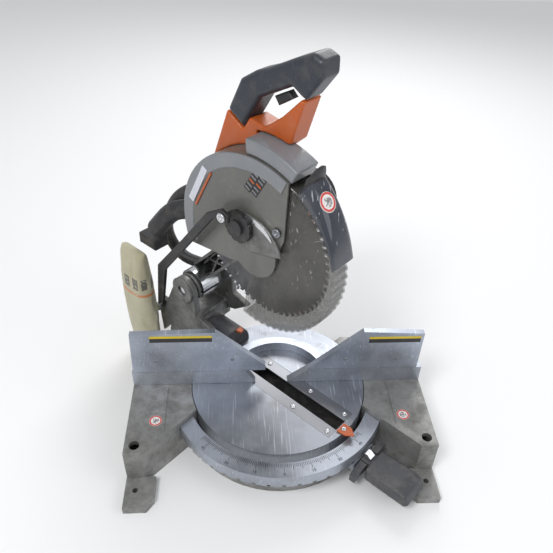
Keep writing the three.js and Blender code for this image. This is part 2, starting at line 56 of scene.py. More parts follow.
# Camera, light and floor.
def camera():
    """A camera whose axes come from a heading, a downward pitch and a small roll."""
    heading, pitch, roll = 0.078904, 0.667757, 0.03812
    level = math.cos(pitch)
    ahead = Vector((math.sin(heading) * level, math.cos(heading) * level, -math.sin(pitch)))
    right = Vector((math.cos(heading), -math.sin(heading), 0.0))
    up = right.cross(ahead)
    turned_right = right * math.cos(roll) + up * math.sin(roll)
    turned_up = up * math.cos(roll) - right * math.sin(roll)
    data = bpy.data.cameras.new("view")
    data.sensor_width = 36.0
    data.lens = 36.0 * 600.0 / 553.0
    data.clip_start = 0.01
    eye = bpy.data.objects.new("view", data)
    place = Matrix((turned_right, turned_up, -ahead)).transposed().to_4x4()
    place.translation = Vector((-0.06634, -0.71271, 0.87924))
    eye.matrix_world = place
    bpy.context.collection.objects.link(eye)
    bpy.context.scene.camera = eye


def lamp(name, at, aim, size, power, tint=(1.0, 1.0, 1.0)):
    """A round soft light at a place, turned to face another."""
    data = bpy.data.lights.new(name, "AREA")
    data.shape = "DISK"
    data.size = size
    data.energy = power
    data.color = tint
    light = bpy.data.objects.new(name, data)
    light.location = at
    light.rotation_euler = (Vector(aim) - Vector(at)).to_track_quat("-Z", "Y").to_euler()
    bpy.context.collection.objects.link(light)


def studio():
    """Three soft lights and a pale surround."""
    lamp("key", (-0.9, -1.2, 2.1), (0, 0, 0.2), 0.7, 24)
    lamp("fill", (1.8, -0.9, 1.2), (0, 0, 0.25), 1.6, 10, (0.92, 0.96, 1.0))
    lamp("rim", (0.4, 1.7, 1.6), (0, 0, 0.3), 1.2, 18)
    world = bpy.data.worlds.new("studio")
    world.use_nodes = True
    back = world.node_tree.nodes["Background"]
    back.inputs["Color"].default_value = (0.93, 0.94, 0.96, 1)
    back.inputs["Strength"].default_value = 0.62
    bpy.context.scene.world = world
    bpy.context.scene.view_settings.view_transform = "Standard"


# Shader building.
class Value:
    """A number socket that takes part in Python sums, each of which adds a Math node."""

    def __init__(self, maker, socket):
        self.maker = maker
        self.socket = socket

    def _with(self, operation, first, second, clamp=False):
        settings = {"operation": operation, "use_clamp": clamp}
        node = self.maker.add("ShaderNodeMath", settings, {0: first, 1: second})
        return Value(self.maker, node.outputs[0])

    def __add__(self, other):
        return self._with("ADD", self, other)

    __radd__ = __add__

    def __sub__(self, other):
        return self._with("SUBTRACT", self, other)

    def __rsub__(self, other):
        return self._with("SUBTRACT", other, self)

    def __mul__(self, other):
        return self._with("MULTIPLY", self, other)

    __rmul__ = __mul__

    def __pow__(self, other):
        return self._with("POWER", self, other)

    def __gt__(self, other):
        return self._with("GREATER_THAN", self, other)

    def __lt__(self, other):
        return self._with("LESS_THAN", self, other)

    def clamped(self):
        return self._with("ADD", self, 0.0, True)


class Maker:
    """Builds one material; every node but the sums comes from add()."""

    def __init__(self, name):
        self.material = bpy.data.materials.new(name)
        self.material.use_nodes = True
        self.tree = self.material.node_tree
        self.tree.nodes.clear()
        self.spot = self.add("ShaderNodeTexCoord").outputs["Object"]

    def add(self, kind, settings=None, sockets=None):
        node = self.tree.nodes.new(kind)
        for key, value in (settings or {}).items():
            if key == "stops":
                self._stops(node.color_ramp, value)
            else:
                setattr(node, key, value)
        for key, value in (sockets or {}).items():
            self.link(node.inputs[key], value)
        return node

    @staticmethod
    def _stops(ramp, stops):
        while len(ramp.elements) < len(stops):
            ramp.elements.new(1.0)
        for element, (at, level) in zip(ramp.elements, stops):
            element.position = at
            element.color = (level, level, level, 1)

    def link(self, target, value):
        if isinstance(value, Value):
            value = value.socket
        if isinstance(value, bpy.types.NodeSocket):
            self.tree.links.new(value, target)
        elif isinstance(value, (tuple, list)) and len(value) == 3 and target.type == "RGBA":
            target.default_value = (*value, 1)
        else:
            target.default_value = value

    def placed(self, scale=(1, 1, 1), turn=(0, 0, 0), shift=(0, 0, 0)):
        sockets = {"Vector": self.spot, "Scale": scale, "Rotation": turn, "Location": shift}
        node = self.add("ShaderNodeMapping", None, sockets)
        return node.outputs[0]

    def noise(self, scale, detail=4.0, where=None, rough=0.55):
        node = self.add(
            "ShaderNodeTexNoise",
            None,
            {"Vector": where or self.spot, "Scale": scale, "Detail": detail, "Roughness": rough},
        )
        return Value(self, node.outputs[0])

    def cells(self, scale, where=None, feature="F1"):
        sockets = {"Vector": where or self.spot, "Scale": scale}
        node = self.add("ShaderNodeTexVoronoi", {"feature": feature}, sockets)
        return Value(self, node.outputs["Distance"])

    def ramp(self, value, *stops):
        node = self.add("ShaderNodeValToRGB", {"stops": stops}, {0: value})
        return Value(self, node.outputs[0])

    def axes(self, where=None):
        node = self.add("ShaderNodeSeparateXYZ", None, {0: where or self.spot})
        return [Value(self, out) for out in node.outputs]

    def mix(self, amount, first, second, blend="MIX"):
        node = self.add("ShaderNodeMix", {"data_type": "RGBA", "blend_type": blend}, {"Factor": amount})
        self.link(node.inputs[6], first)
        self.link(node.inputs[7], second)
        return node.outputs[2]

    def finish(
        self, colour, rough, metal=0.0, height=None, depth=0.0003, strength=0.5, alpha=None, coat=0.0, **fixed
    ):
        """The shader, with its relief through a Bump node and its uniform numbers on their own sockets."""
        sockets = {"Base Color": colour, "Roughness": rough, "Metallic": metal}
        shader = self.add("ShaderNodeBsdfPrincipled", None, sockets)
        if height is not None:
            relief = {"Height": height, "Distance": depth, "Strength": strength}
            bump = self.add("ShaderNodeBump", None, relief)
            self.link(shader.inputs["Normal"], bump.outputs[0])
        if alpha is not None:
            self.link(shader.inputs["Alpha"], alpha)
        self.link(shader.inputs["Coat Weight"], coat)
        for key, value in fixed.items():
            self.link(shader.inputs[key.replace("_", " ")], value)
        self.add("ShaderNodeOutputMaterial", None, {0: shader.outputs[0]})
        return self.material


# Finishes.
def cast_skin(name, base, grime=(0.10, 0.095, 0.085)):
    """Sand-cast aluminium: fine pebbled skin, darker where grime has settled, dusted with pale sawdust."""
    m = Maker(name)
    broad = m.noise(14, 6)
    fine = m.noise(420, 3)
    grains = m.cells(520)
    dirt = m.ramp(m.noise(34, 8, rough=0.7), (0.40, 0.0), (0.68, 1.0))
    dust = m.ramp(m.noise(90, 8, rough=0.75), (0.60, 0.0), (0.74, 0.5))
    dark = tuple(c * 0.82 for c in base)
    light = tuple(min(c * 1.15, 1) for c in base)
    tone = m.mix(m.ramp(broad, (0.3, 0.0), (0.7, 1.0)), dark, light)
    tone = m.mix(dirt * 0.6, tone, grime)
    tone = m.mix(dust * 0.5, tone, (0.50, 0.44, 0.34))
    return m.finish(tone, 0.42 + 0.25 * dirt + 0.1 * fine, 0.72, 0.6 * grains + 0.5 * fine, 0.0006, 0.45)


def machined(name, base, along=(6, 220, 220), swirl=False):
    """Ground aluminium: hair scratches one way, crossing deeper ones, and cloudy smears of handling."""
    m = Maker(name)
    if swirl:
        x, y, z = m.axes()
        radius = (x * x + y * y) ** 0.5
        ring = m.add("ShaderNodeCombineXYZ", None, {0: radius * 260.0, 1: z * 40.0, 2: 0.0})
        hair = m.noise(1.0, 3, ring.outputs[0])
    else:
        hair = m.noise(3, 3, m.placed(along))
    cross = m.noise(2.2, 2, m.placed((300, 5, 40), (0, 0, 0.9)))
    cuts = m.ramp(m.noise(2.0, 2, m.placed((260, 7, 60), (0, 0, -0.5))), (0.66, 0.0), (0.70, 1.0))
    deep = m.ramp(cross, (0.67, 0.0), (0.705, 1.0))
    smear = m.ramp(m.noise(11, 6, rough=0.62), (0.35, 0.0), (0.68, 1.0))
    stain = m.ramp(m.noise(26, 8, rough=0.7), (0.56, 0.0), (0.72, 1.0))
    tone = m.mix(smear, tuple(c * 0.74 for c in base), tuple(min(1, c * 1.16) for c in base))
    tone = m.mix(stain * 0.35, tone, (0.30, 0.27, 0.23))
    tone = m.mix((deep + cuts).clamped() * 0.5, tone, (0.85, 0.87, 0.92))
    rough = 0.26 + 0.18 * smear + 0.12 * hair + 0.12 * stain
    height = 0.7 * hair - 0.8 * deep - 0.7 * cuts
    return m.finish(tone, rough, 0.88, height, 0.00025, 0.35)


def moulded(name, base, wear=0.35, rough=0.52, grain=900, dust=0.4, coat=0.0, scuff=None):
    """Moulded plastic or paint: leathery grain, scuffed highs, and dust that lies in patches."""
    m = Maker(name)
    skin = m.cells(grain)
    patch = m.ramp(m.noise(38, 8, rough=0.7), (0.48, 0.0), (0.74, 1.0))
    scratch = m.ramp(m.noise(3.0, 2, m.placed((210, 9, 60), (0.4, 0.2, 0.6))), (0.66, 0.0), (0.71, 1.0))
    broad = m.noise(9, 3)
    tone = m.mix(broad, tuple(c * 0.8 for c in base), tuple(min(1, c * 1.25) for c in base))
    tone = m.mix(patch * dust, tone, (0.42, 0.37, 0.30))
    tone = m.mix(scratch * wear, tone, scuff or tuple(min(1, c * 2.2 + 0.05) for c in base))
    relief = skin - 0.6 * scratch
    return m.finish(tone, rough + 0.18 * patch - 0.08 * scratch, 0.0, relief, 0.0003, 0.3, coat=coat)


def steel(name, base, rough=0.3, rings=False):
    """Turned or plated steel with fine rings or hairlines and a few brown specks."""
    m = Maker(name)
    hair = m.noise(4, 3, m.placed((30, 30, 600)) if rings else m.placed((14, 300, 300)))
    speck = m.ramp(m.noise(160, 6, rough=0.7), (0.62, 0.0), (0.70, 1.0))
    cloud = m.noise(25, 5)
    tone = m.mix(cloud, tuple(c * 0.8 for c in base), base)
    tone = m.mix(speck * 0.35, tone, (0.22, 0.13, 0.07))
    return m.finish(tone, rough + 0.2 * hair * cloud + 0.2 * speck, 1.0, hair, 0.0002, 0.25)


def blade_steel():
    """Blade plate: rings from grinding, patches of dark pitch, and bright rubs round the arbor."""
    m = Maker("blade_steel")
    centre = ARBOR[0] * MM * AHEAD + ARBOR[1] * MM * UP
    local = m.add("ShaderNodeVectorMath", {"operation": "SUBTRACT"}, {0: m.spot, 1: tuple(centre)}).outputs[0]
    along = m.add("ShaderNodeVectorMath", {"operation": "DOT_PRODUCT"}, {0: local, 1: tuple(AHEAD)})
    s = Value(m, along.outputs["Value"])
    z = m.axes(local)[2]
    radius = (s * s + z * z) ** 0.5
    angle = Value(m, m.add("ShaderNodeMath", {"operation": "ARCTAN2"}, {0: z, 1: s}).outputs[0])
    polar = m.add("ShaderNodeCombineXYZ", None, {0: angle * 26.0, 1: radius * 12.0, 2: 0.0})
    rub = m.ramp(m.noise(1.0, 2, polar.outputs[0]), (0.70, 0.0), (0.745, 1.0))
    rings = m.add("ShaderNodeCombineXYZ", None, {0: radius * 700.0, 1: angle * 2.0, 2: 0.0})
    grind = m.noise(1.0, 3, rings.outputs[0])
    pitch = m.ramp(m.noise(30, 7, rough=0.7), (0.38, 0.0), (0.7, 1.0))
    tone = m.mix(pitch, (0.10, 0.10, 0.105), (0.21, 0.21, 0.22))
    tone = m.mix(rub, tone, (0.75, 0.76, 0.78))
    return m.finish(tone, 0.34 + 0.22 * pitch + 0.08 * grind, 0.85, grind + rub, 0.0002, 0.3)


def smoked(name, tint, thin=0.3, haze=0.35):
    """Smoked clear plastic: faint hazy patches and a few hairline scratches over a clear dark body."""
    m = Maker(name)
    dust = m.ramp(m.noise(14, 5, rough=0.6), (0.40, 0.0), (0.75, 1.0))
    scratch = m.ramp(m.noise(2.0, 1, m.placed((160, 6, 40), (0.3, 0.5, 0.2))), (0.70, 0.0), (0.73, 1.0))
    tone = m.mix(dust * haze, tint, (0.30, 0.29, 0.27))
    tone = m.mix(scratch * 0.5, tone, (0.60, 0.60, 0.62))
    alpha = (thin + 0.10 * dust + 0.25 * scratch).clamped()
    rough = 0.12 + 0.14 * dust + 0.2 * scratch
    return m.finish(tone, rough, 0.0, scratch, 0.0002, 0.2, alpha=alpha, coat=0.4, IOR=1.5)


def cloth():
    """Cotton twill: crossed threads, faded patches, a dark printed band and a thin orange line."""
    m = Maker("bag_cloth")
    x, _, z = m.axes()
    threads = {"Vector": m.spot, "Scale": 260.0, "Distortion": 0.4}
    weave = m.add("ShaderNodeTexWave", {"bands_direction": "DIAGONAL"}, threads)
    weft = m.noise(3.0, 2, m.placed((900, 900, 60)))
    fade = m.ramp(m.noise(16, 7, rough=0.65), (0.3, 0.0), (0.7, 1.0))
    tone = m.mix(fade, (0.44, 0.41, 0.27), (0.60, 0.57, 0.42))
    tone = m.mix(0.3 * weft, tone, (0.30, 0.27, 0.17))
    low = (z > 0.182) * (z < 0.205)
    stripes = m.add("ShaderNodeMath", {"operation": "FRACT"}, {0: x * 62.0 + 3.0})
    blocks = Value(m, stripes.outputs[0]) < 0.62
    printed = low * blocks * (m.noise(240, 4) > 0.42)
    tone = m.mix(printed * 0.8, tone, (0.05, 0.05, 0.055))
    line = (z > 0.168) * (z < 0.173) * (m.noise(240, 4) > 0.40)
    tone = m.mix(line * 0.8, tone, (0.62, 0.16, 0.03))
    height = Value(m, weave.outputs[1]) + weft
    return m.finish(tone, 0.92, 0.0, height, 0.0006, 0.6, Sheen_Weight=0.3)


def copper():
    """Varnished windings: fine wound lines over a warm metal."""
    m = Maker("copper_winding")
    lines = m.noise(2.0, 2, m.placed((40, 40, 900)))
    cloud = m.noise(60, 5)
    tone = m.mix(cloud, (0.30, 0.12, 0.04), (0.62, 0.30, 0.12))
    return m.finish(tone, 0.3 + 0.3 * lines, 0.8, lines, 0.0004, 0.5)


def disc_label(centre, turned):
    """A round white label with a red rim and a plain grey bar across it, rubbed at the edges."""
    m = Maker("round_label")
    local = m.add("ShaderNodeVectorMath", {"operation": "SUBTRACT"}, {0: m.spot, 1: tuple(centre)}).outputs[0]
    reach = Value(m, m.add("ShaderNodeVectorMath", {"operation": "LENGTH"}, {0: local}).outputs["Value"])
    rim = (reach > turned * 0.74) * (reach < turned * 0.97)
    bar = (reach < turned * 0.55) * (m.noise(300, 3) > 0.47)
    tone = m.mix(rim, (0.78, 0.76, 0.74), (0.62, 0.05, 0.04))
    tone = m.mix(bar * 0.8, tone, (0.08, 0.08, 0.08))
    tone = m.mix(m.ramp(m.noise(500, 4), (0.55, 0.0), (0.7, 0.6)), tone, (0.45, 0.42, 0.40))
    return m.finish(tone, 0.42, 0.0, m.noise(900, 2), 0.0001, 0.2)


CAST = cast_skin("cast_aluminium", (0.36, 0.36, 0.35))
ARM_CAST = cast_skin("arm_casting", (0.24, 0.24, 0.235), (0.06, 0.058, 0.052))
FLAT = machined("machined_face", (0.44, 0.47, 0.53))
TABLE = machined("turned_table", (0.34, 0.36, 0.40), swirl=True)
FENCE = machined("fence_face", (0.44, 0.48, 0.56), (5, 160, 260))
DARK_STEEL = steel("dark_steel", (0.30, 0.31, 0.33), 0.36)
BRIGHT = steel("bright_steel", (0.72, 0.73, 0.75), 0.2, rings=True)
BLADE = blade_steel()
BLACK = moulded("black_plastic", (0.018, 0.018, 0.020), 0.25, 0.48, 900, 0.16)
CHARCOAL = moulded("charcoal_plastic", (0.055, 0.056, 0.064), 0.35, 0.45, 900, 0.22)
PAINT = moulded("grey_paint", (0.115, 0.115, 0.106), 0.35, 0.36, 300, 0.12, 0.2)
RIM_PAINT = moulded("rim_paint", (0.19, 0.20, 0.215), 0.4, 0.30, 300, 0.12, 0.25)
ORANGE = moulded("orange_plastic", (0.46, 0.085, 0.006), 0.2, 0.38, 700, 0.15, 0.1, (0.6, 0.25, 0.08))
RUBBER = moulded("grip_rubber", (0.022, 0.027, 0.038), 0.3, 0.42, 1100, 0.12, 0.1, (0.12, 0.14, 0.17))
SMOKED = smoked("smoked_plastic", (0.085, 0.082, 0.072), 0.34)
NOSE = smoked("nose_plastic", (0.03, 0.036, 0.052), 0.9, 0.12)
CLOTH = cloth()
COPPER = copper()
WHITE = moulded("pale_print", (0.62, 0.64, 0.70), 0.3, 0.4, 400, 0.15)
INK = moulded("dark_ink", (0.02, 0.02, 0.022), 0.3, 0.45, 400, 0.1)
YELLOW = moulded("yellow_print", (0.62, 0.46, 0.02), 0.4, 0.45, 400, 0.25)

FINISHES = {
    CAST: ["base_casting"],
    ARM_CAST: ["blade_bolt_cover"],
    FLAT: ["miter_scale", "fence_fixed"],
    FENCE: ["fence_slide_left", "fence_slide_right"],
    TABLE: ["turntable"],
    DARK_STEEL: ["throat_plate_left", "throat_plate_right", "flange_inner", "flange_outer"],
    BRIGHT: [
        "turntable_pivot_bolt", "bevel_pivot_pin", "chop_pivot_pin", "guard_link_pin", "arbor_bolt",
        "arbor_shaft",
        "hold_down_pin", "miter_lock_lever", "arbor_bearing", "drive_gear", "pinion", "chop_return_spring",
    ],
    BLACK: [
        "kerf_duct", "fence_clamp_knob_left", "fence_clamp_knob_right", "bevel_lock_lever", "guard_crank",
        "motor_end_cap", "brush_cap_top", "brush_cap_bottom", "bag_collar", "cord_gland", "trigger",
    ],
    CHARCOAL: ["detent_paddle_left", "detent_paddle_right"],
    PAINT: ["upper_guard", "gear_case"],
    ORANGE: ["motor_housing", "miter_pointer", "bevel_pointer", "lock_off_button"],
    COPPER: ["armature", "field_coil"],
}


def dress_frame():
    """Puts each carried-over node in its finish."""
    for material, names in FINISHES.items():
        for name in names:
            node = frame["nodes"][name]
            node.data.materials.clear()
            node.data.materials.append(material)


# Meshes.
def place(w, s, z):
    """Across, forward and up in millimetres, as arrays, turned into metres in the frame."""
    w, s, z = np.broadcast_arrays(*(np.asarray(v, float) for v in (w, s, z)))
    return MM * (w[..., None] * ACROSS + s[..., None] * AHEAD + z[..., None] * UP)


def piece(name, points, faces, material, body, smooth=True):
    mesh = bpy.data.meshes.new(name)
    corners = np.asarray(points).reshape(-1, 3).tolist()
    mesh.from_pydata(corners, [], [tuple(face) for face in np.asarray(faces).tolist()])
    mesh.update()
    mesh.polygons.foreach_set("use_smooth", np.full(len(mesh.polygons), smooth))
    mesh.materials.append(material)
    made = bpy.data.objects.new(name, mesh)
    bpy.context.collection.objects.link(made)
    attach(made, body)
    return made


def grid_faces(rows, columns, close_rows=False, close_columns=False):
    """Quads between neighbouring rows and columns of a grid, joined round where it closes."""
    i = np.arange(rows if close_rows else rows - 1)
    j = np.arange(columns if close_columns else columns - 1)
    i, j = np.meshgrid(i, j, indexing="ij")
    a = i * columns + j
    b = i * columns + (j + 1) % columns
    c = ((i + 1) % rows) * columns + (j + 1) % columns
    d = ((i + 1) % rows) * columns + j
    return np.stack([a, b, c, d], -1).reshape(-1, 4)


def tidy_normals(made, thickness=0.0, offset=0.0, levels=0, bevel=0.0):
    """Merges doubles, turns faces outward, then gives the piece its wall and rounding."""
    import bmesh
    work = bmesh.new()
    work.from_mesh(made.data)
    bmesh.ops.remove_doubles(work, verts=work.verts, dist=1e-6)
    bmesh.ops.recalc_face_normals(work, faces=work.faces)
    work.to_mesh(made.data)
    work.free()
    if thickness:
        wall = made.modifiers.new("wall", "SOLIDIFY")
        wall.thickness = thickness
        wall.offset = offset
    if bevel:
        round_over = made.modifiers.new("round", "BEVEL")
        round_over.width = bevel
        round_over.segments = 2
        round_over.limit_method = "ANGLE"
    if levels:
        soft = made.modifiers.new("soft", "SUBSURF")
        soft.levels = levels
        soft.render_levels = levels
    return made


def softened(node, material, voxel=2.0, passes=8):
    """A copy of a node rebuilt on an even grid and relaxed, so that its edges and joins round over."""
    source = frame["nodes"][node]
    mesh = source.data.copy()
    made = bpy.data.objects.new(node + "_skin", mesh)
    bpy.context.collection.objects.link(made)
    tidy_normals(made)
    grid = made.modifiers.new("grid", "REMESH")
    grid.mode = "VOXEL"
    grid.voxel_size = voxel * MM
    relax = made.modifiers.new("relax", "SMOOTH")
    relax.factor = 0.5
    relax.iterations = passes
    bpy.context.view_layer.update()
    shape = made.evaluated_get(bpy.context.evaluated_depsgraph_get())
    baked = bpy.data.meshes.new_from_object(shape)
    made.modifiers.clear()
    made.data = baked
    baked.materials.clear()
    baked.materials.append(material)
    baked.polygons.foreach_set("use_smooth", np.ones(len(baked.polygons), bool))
    bodies = frame["record"]["behaviour"]["bodies"]
    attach(made, next(body for body, nodes in bodies.items() if node in nodes))
    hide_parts(node)
    return made


def turned(name, profile, centre, axis, material, body, sides=28, slot=None):
    """A round piece: a profile of (radius, height) swept once round an axis through centre, in mm."""
    axis = np.asarray(axis, float)
    first = np.cross(axis, UP) if abs(axis @ UP) < 0.9 else np.cross(axis, ACROSS)
    first /= np.linalg.norm(first)
    second = np.cross(axis, first)
    turn = np.linspace(0, 2 * math.pi, sides, endpoint=False)
    radius, height = np.asarray(profile, float).T
    around = np.cos(turn)[:, None] * first + np.sin(turn)[:, None] * second
    points = radius[None, :, None] * around[:, None] + height[None, :, None] * axis
    points = MM * points + place(*centre)
    made = piece(name, points, grid_faces(sides, len(radius), close_rows=True), material, body, True)
    return tidy_normals(made)


# Finer pieces.
def saw_blade(teeth=60):
    """A plate whose outline radius falls from each tip into a round gullet, with a plate either side."""
    turn = np.linspace(0, 2 * math.pi, teeth * 10, endpoint=False)
    phase = (turn * teeth / (2 * math.pi)) % 1.0
    bite = np.clip(np.sin(phase / 0.34 * math.pi), 0, None)
    gullet = np.where(phase < 0.34, bite ** 0.6 * 8.5, (1 - phase) / 0.66 * 1.6)
    rim = BLADE_RADIUS - 0.6 - gullet
    radii = np.stack([np.full_like(turn, 8.4), np.full_like(turn, 60.0), np.full_like(turn, 112.0), rim], -1)
    sides = np.array([-0.9, 0.9])
    s = ARBOR[0] + radii * np.cos(-turn)[:, None]
    z = ARBOR[1] + radii * np.sin(-turn)[:, None]
    loop_s = np.concatenate([s, s[:, ::-1]], 1)
    loop_z = np.concatenate([z, z[:, ::-1]], 1)
    loop_w = np.concatenate([np.full_like(s, sides[0]), np.full_like(s, sides[1])], 1)
    faces = grid_faces(len(turn), loop_s.shape[1], True, True)
    made = piece("saw_blade", place(loop_w, loop_s, loop_z), faces, BLADE, "blade_set", False)
    tidy_normals(made)
    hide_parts("blade")
    tip_turn = -(np.arange(teeth) + 0.02) * 2 * math.pi / teeth
    corner_r = np.array([-6.0, 0.2, 0.2, -6.0])
    corner_t = np.array([0.0, 0.0, 0.022, 0.03])
    r = BLADE_RADIUS - 0.6 + corner_r[None] * np.ones((teeth, 1))
    t = tip_turn[:, None] + corner_t[None] * 0.8
    tips_s = ARBOR[0] + r * np.cos(t)
    tips_z = ARBOR[1] + r * np.sin(t)
    both = np.concatenate([place(-1.25, tips_s, tips_z), place(1.25, tips_s, tips_z)], 1)
    base = np.arange(teeth)[:, None, None] * 8
    box = np.array([(0, 1, 2, 3), (7, 6, 5, 4), (0, 4, 5, 1), (1, 5, 6, 2), (2, 6, 7, 3), (3, 7, 4, 0)])
    made = piece("carbide_tips", both, (base + box[None]).reshape(-1, 4), BRIGHT, "blade_set", False)
    tidy_normals(made)


def channel(angles, outer, half, inner_left, inner_right, corner=5.0):
    """A U section carried round the arbor: out along the left wall, over the rim, in along the right."""
    bend = np.radians(np.linspace(0, 90, 5))
    pieces_r = []
    pieces_w = []
    wall_l = inner_left[:, None] + (outer - corner - inner_left)[:, None] * np.linspace(0, 1, 8)[None]
    pieces_r.append(wall_l)
    pieces_w.append(np.full_like(wall_l, -half))
    pieces_r.append((outer - corner)[:, None] + corner * np.sin(bend)[None])
    pieces_w.append((-half + corner - corner * np.cos(bend))[None] * np.ones((len(angles), 1)))
    pieces_r.append(outer[:, None] * np.ones((1, 4)))
    pieces_w.append(np.linspace(-half + corner, half - corner, 6)[1:-1][None] * np.ones((len(angles), 1)))
    pieces_r.append((outer - corner)[:, None] + corner * np.cos(bend)[None])
    pieces_w.append((half - corner + corner * np.sin(bend))[None] * np.ones((len(angles), 1)))
    wall_r = (outer - corner)[:, None] + (inner_right - outer + corner)[:, None] * np.linspace(0, 1, 6)[None]
    pieces_r.append(wall_r)
    pieces_w.append(np.full_like(wall_r, half))
    radius = np.concatenate(pieces_r, 1)
    across = np.concatenate(pieces_w, 1)
    turn = np.radians(angles)[:, None]
    return place(across, ARBOR[0] + radius * np.cos(turn), ARBOR[1] + radius * np.sin(turn))


def lower_guard():
    """The swinging guard: a U section round the arbor whose rim is crossed by raised ribs below the front."""
    angles = np.linspace(-100, 68, 420)
    ribbed = np.clip((22 - angles) / 8, 0, 1) * np.clip((angles + 96) / 6, 0, 1)
    wave = np.abs(np.sin(np.radians(angles) * 180 / 5.4)) ** 4
    outer = 143.6 + 2.2 * wave * ribbed
    points = channel(angles, outer, 18.4, np.full_like(angles, 31.0), np.full_like(angles, 109.0))
    made = piece("lower_guard_shell", points, grid_faces(*points.shape[:2]), SMOKED, "guard")
    tidy_normals(made, 2.0 * MM, 0.0)
    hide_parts("lower_guard")
    hub = [(30.2, -1.2), (44, -1.2), (45, -0.6), (45, 1.4), (44, 2), (30.2, 2), (30.2, -1.2)]
    turned("guard_hub_ring", hub, (-19.0, *ARBOR), ACROSS, CHARCOAL, "guard", 64)


def guard_nose():
    """The fixed front hood: a U section that swells towards its top and ends in a thin flared lip."""
    angles = np.linspace(14, 58, 90)
    swell = ((angles - 14) / 44) ** 1.3
    outer = 150.5 + 20.0 * swell
    half = 23.0
    turn = np.radians(angles)
    across = np.linspace(-1, 1, 25)
    crown = np.sqrt(np.clip(1 - np.abs(across) ** 5, 0, 1))
    radius = 149.0 + (outer - 149.0)[:, None] * crown[None] + 0.5
    ahead = ARBOR[0] + radius * np.cos(turn)[:, None]
    height = ARBOR[1] + radius * np.sin(turn)[:, None]
    grid = place(half * across[None], ahead, height)
    made = piece("nose_hood", grid, grid_faces(*grid.shape[:2]), NOSE, "head")
    tidy_normals(made, 2.4 * MM, 0.0)
    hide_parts("guard_nose")
    rise = np.linspace(0, 1, 14)
    lip_angle = np.radians(57.5 + 2.2 * rise ** 2)
    lip_r = 169.0 + 24.0 * rise
    width = 23.5 - 5.0 * rise ** 2
    bow = 1 - 0.10 * (across[None] ** 2)
    lip = place(
        width[:, None] * across[None],
        ARBOR[0] + lip_r[:, None] * bow * np.cos(lip_angle)[:, None],
        ARBOR[1] + lip_r[:, None] * bow * np.sin(lip_angle)[:, None],
    )
    made = piece("nose_lip", lip, grid_faces(*lip.shape[:2]), BLACK, "head")
    tidy_normals(made, 3.0 * MM, 0.0)


def rim_band():
    """A raised painted band along the upper guard's edge, R from 128 to 150.5, 1.2 mm proud."""
    angles = np.radians(np.linspace(66, 198, 100))
    section_r = np.array([128, 130, 149, 150.6, 150.6, 128.0])
    section_w = np.array([-24.2, -25.6, -25.6, -24.8, -24.1, -24.1])
    points = place(
        section_w[None] * np.ones((100, 1)),
        ARBOR[0] + section_r[None] * np.cos(angles)[:, None],
        ARBOR[1] + section_r[None] * np.sin(angles)[:, None],
    )
    faces = grid_faces(100, 6, False, True).tolist() + [tuple(range(6)), tuple(range(599, 593, -1))]
    made = piece("guard_rim_band", points, [], RIM_PAINT, "head")
    mesh = made.data
    mesh.clear_geometry()
    mesh.from_pydata(points.reshape(-1, 3).tolist(), [], [tuple(f) for f in faces])
    mesh.polygons.foreach_set("use_smooth", np.zeros(len(mesh.polygons), bool))
    tidy_normals(made)


def flat_patch(name, corners, w0, w1, material, body):
    """A thin plate whose outline in (s, z) is given, between two values of w."""
    count = len(corners)
    s, z = np.asarray(corners, float).T
    points = np.concatenate([place(w0, s, z), place(w1, s, z)])
    ring = [(i, (i + 1) % count, (i + 1) % count + count, i + count) for i in range(count)]
    faces = [tuple(range(count)), tuple(range(2 * count - 1, count - 1, -1))] + ring
    mesh = bpy.data.meshes.new(name)
    mesh.from_pydata(points.tolist(), [], faces)
    mesh.materials.append(material)
    made = bpy.data.objects.new(name, mesh)
    bpy.context.collection.objects.link(made)
    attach(made, body)
    return tidy_normals(made)


def guard_trim():
    """A plain badge and its stripe, two ribbed vents, and a painted highlight: a bright steel crescent along
    the bolt cover's top edge.
    """
    strips = (
        ("badge_plate", (-172, 390), (-137, 457), 11, WHITE),
        ("badge_stripe", (-162.4, 384.5), (-125, 453), 3, ORANGE),
    )
    for name, low, high, width, material in strips:
        low, high = np.array(low, float), np.array(high, float)
        along = (high - low) / np.linalg.norm(high - low)
        side = np.array([-along[1], along[0]]) * width / 2
        flat_patch(name, [low - side, low + side, high + side, high - side], -26.2, -24.1, material, "head")
    for k, shift in enumerate((0.0, 13.5)):
        low = np.array([-53.0 + shift * 0.95, 455.0 - shift * 0.2])
        high = low + np.array([19.5, 33.0])
        side = np.array([5.2, -3.0])
        panel = [low - side, low + side, high + side, high - side]
        flat_patch(f"vent_panel_{k}", panel, -24.8, -24.1, INK, "head")
        for j, part in enumerate((0.12, 0.32, 0.52, 0.72, 0.9)):
            mid = low + (high - low) * part
            bar = np.array([0.7, 1.2])
            tint = ORANGE if j == 2 else DARK_STEEL
            reach = side * 0.8
            corners = [mid - reach - bar, mid + reach - bar, mid + reach + bar, mid - reach + bar]
            flat_patch(f"vent_rib_{k}_{j}", corners, -25.3, -24.7, tint, "head")
    # Painted highlight: a thin crescent of bright steel, tapered to nothing at both ends, laid over the top
    # of the bolt cover's edge where light catches it.
    turn = np.radians(np.linspace(40, 138, 40))
    section_r = np.array([53.0, 62.6, 62.6, 53.0])
    section_w = np.array([-31.4, -31.4, -30.2, -30.2])
    ends = np.sin(np.linspace(0, math.pi, 40)) ** 0.5
    wide = 57.8 + (section_r[None] - 57.8) * ends[:, None]
    points = place(
        section_w[None] * np.ones((40, 1)),
        ARBOR[0] + wide * np.cos(turn)[:, None],
        ARBOR[1] + wide * np.sin(turn)[:, None],
    )
    made = piece("bolt_cover_painted_highlight", points, grid_faces(40, 4, False, True), BRIGHT, "head", False)
    tidy_normals(made)


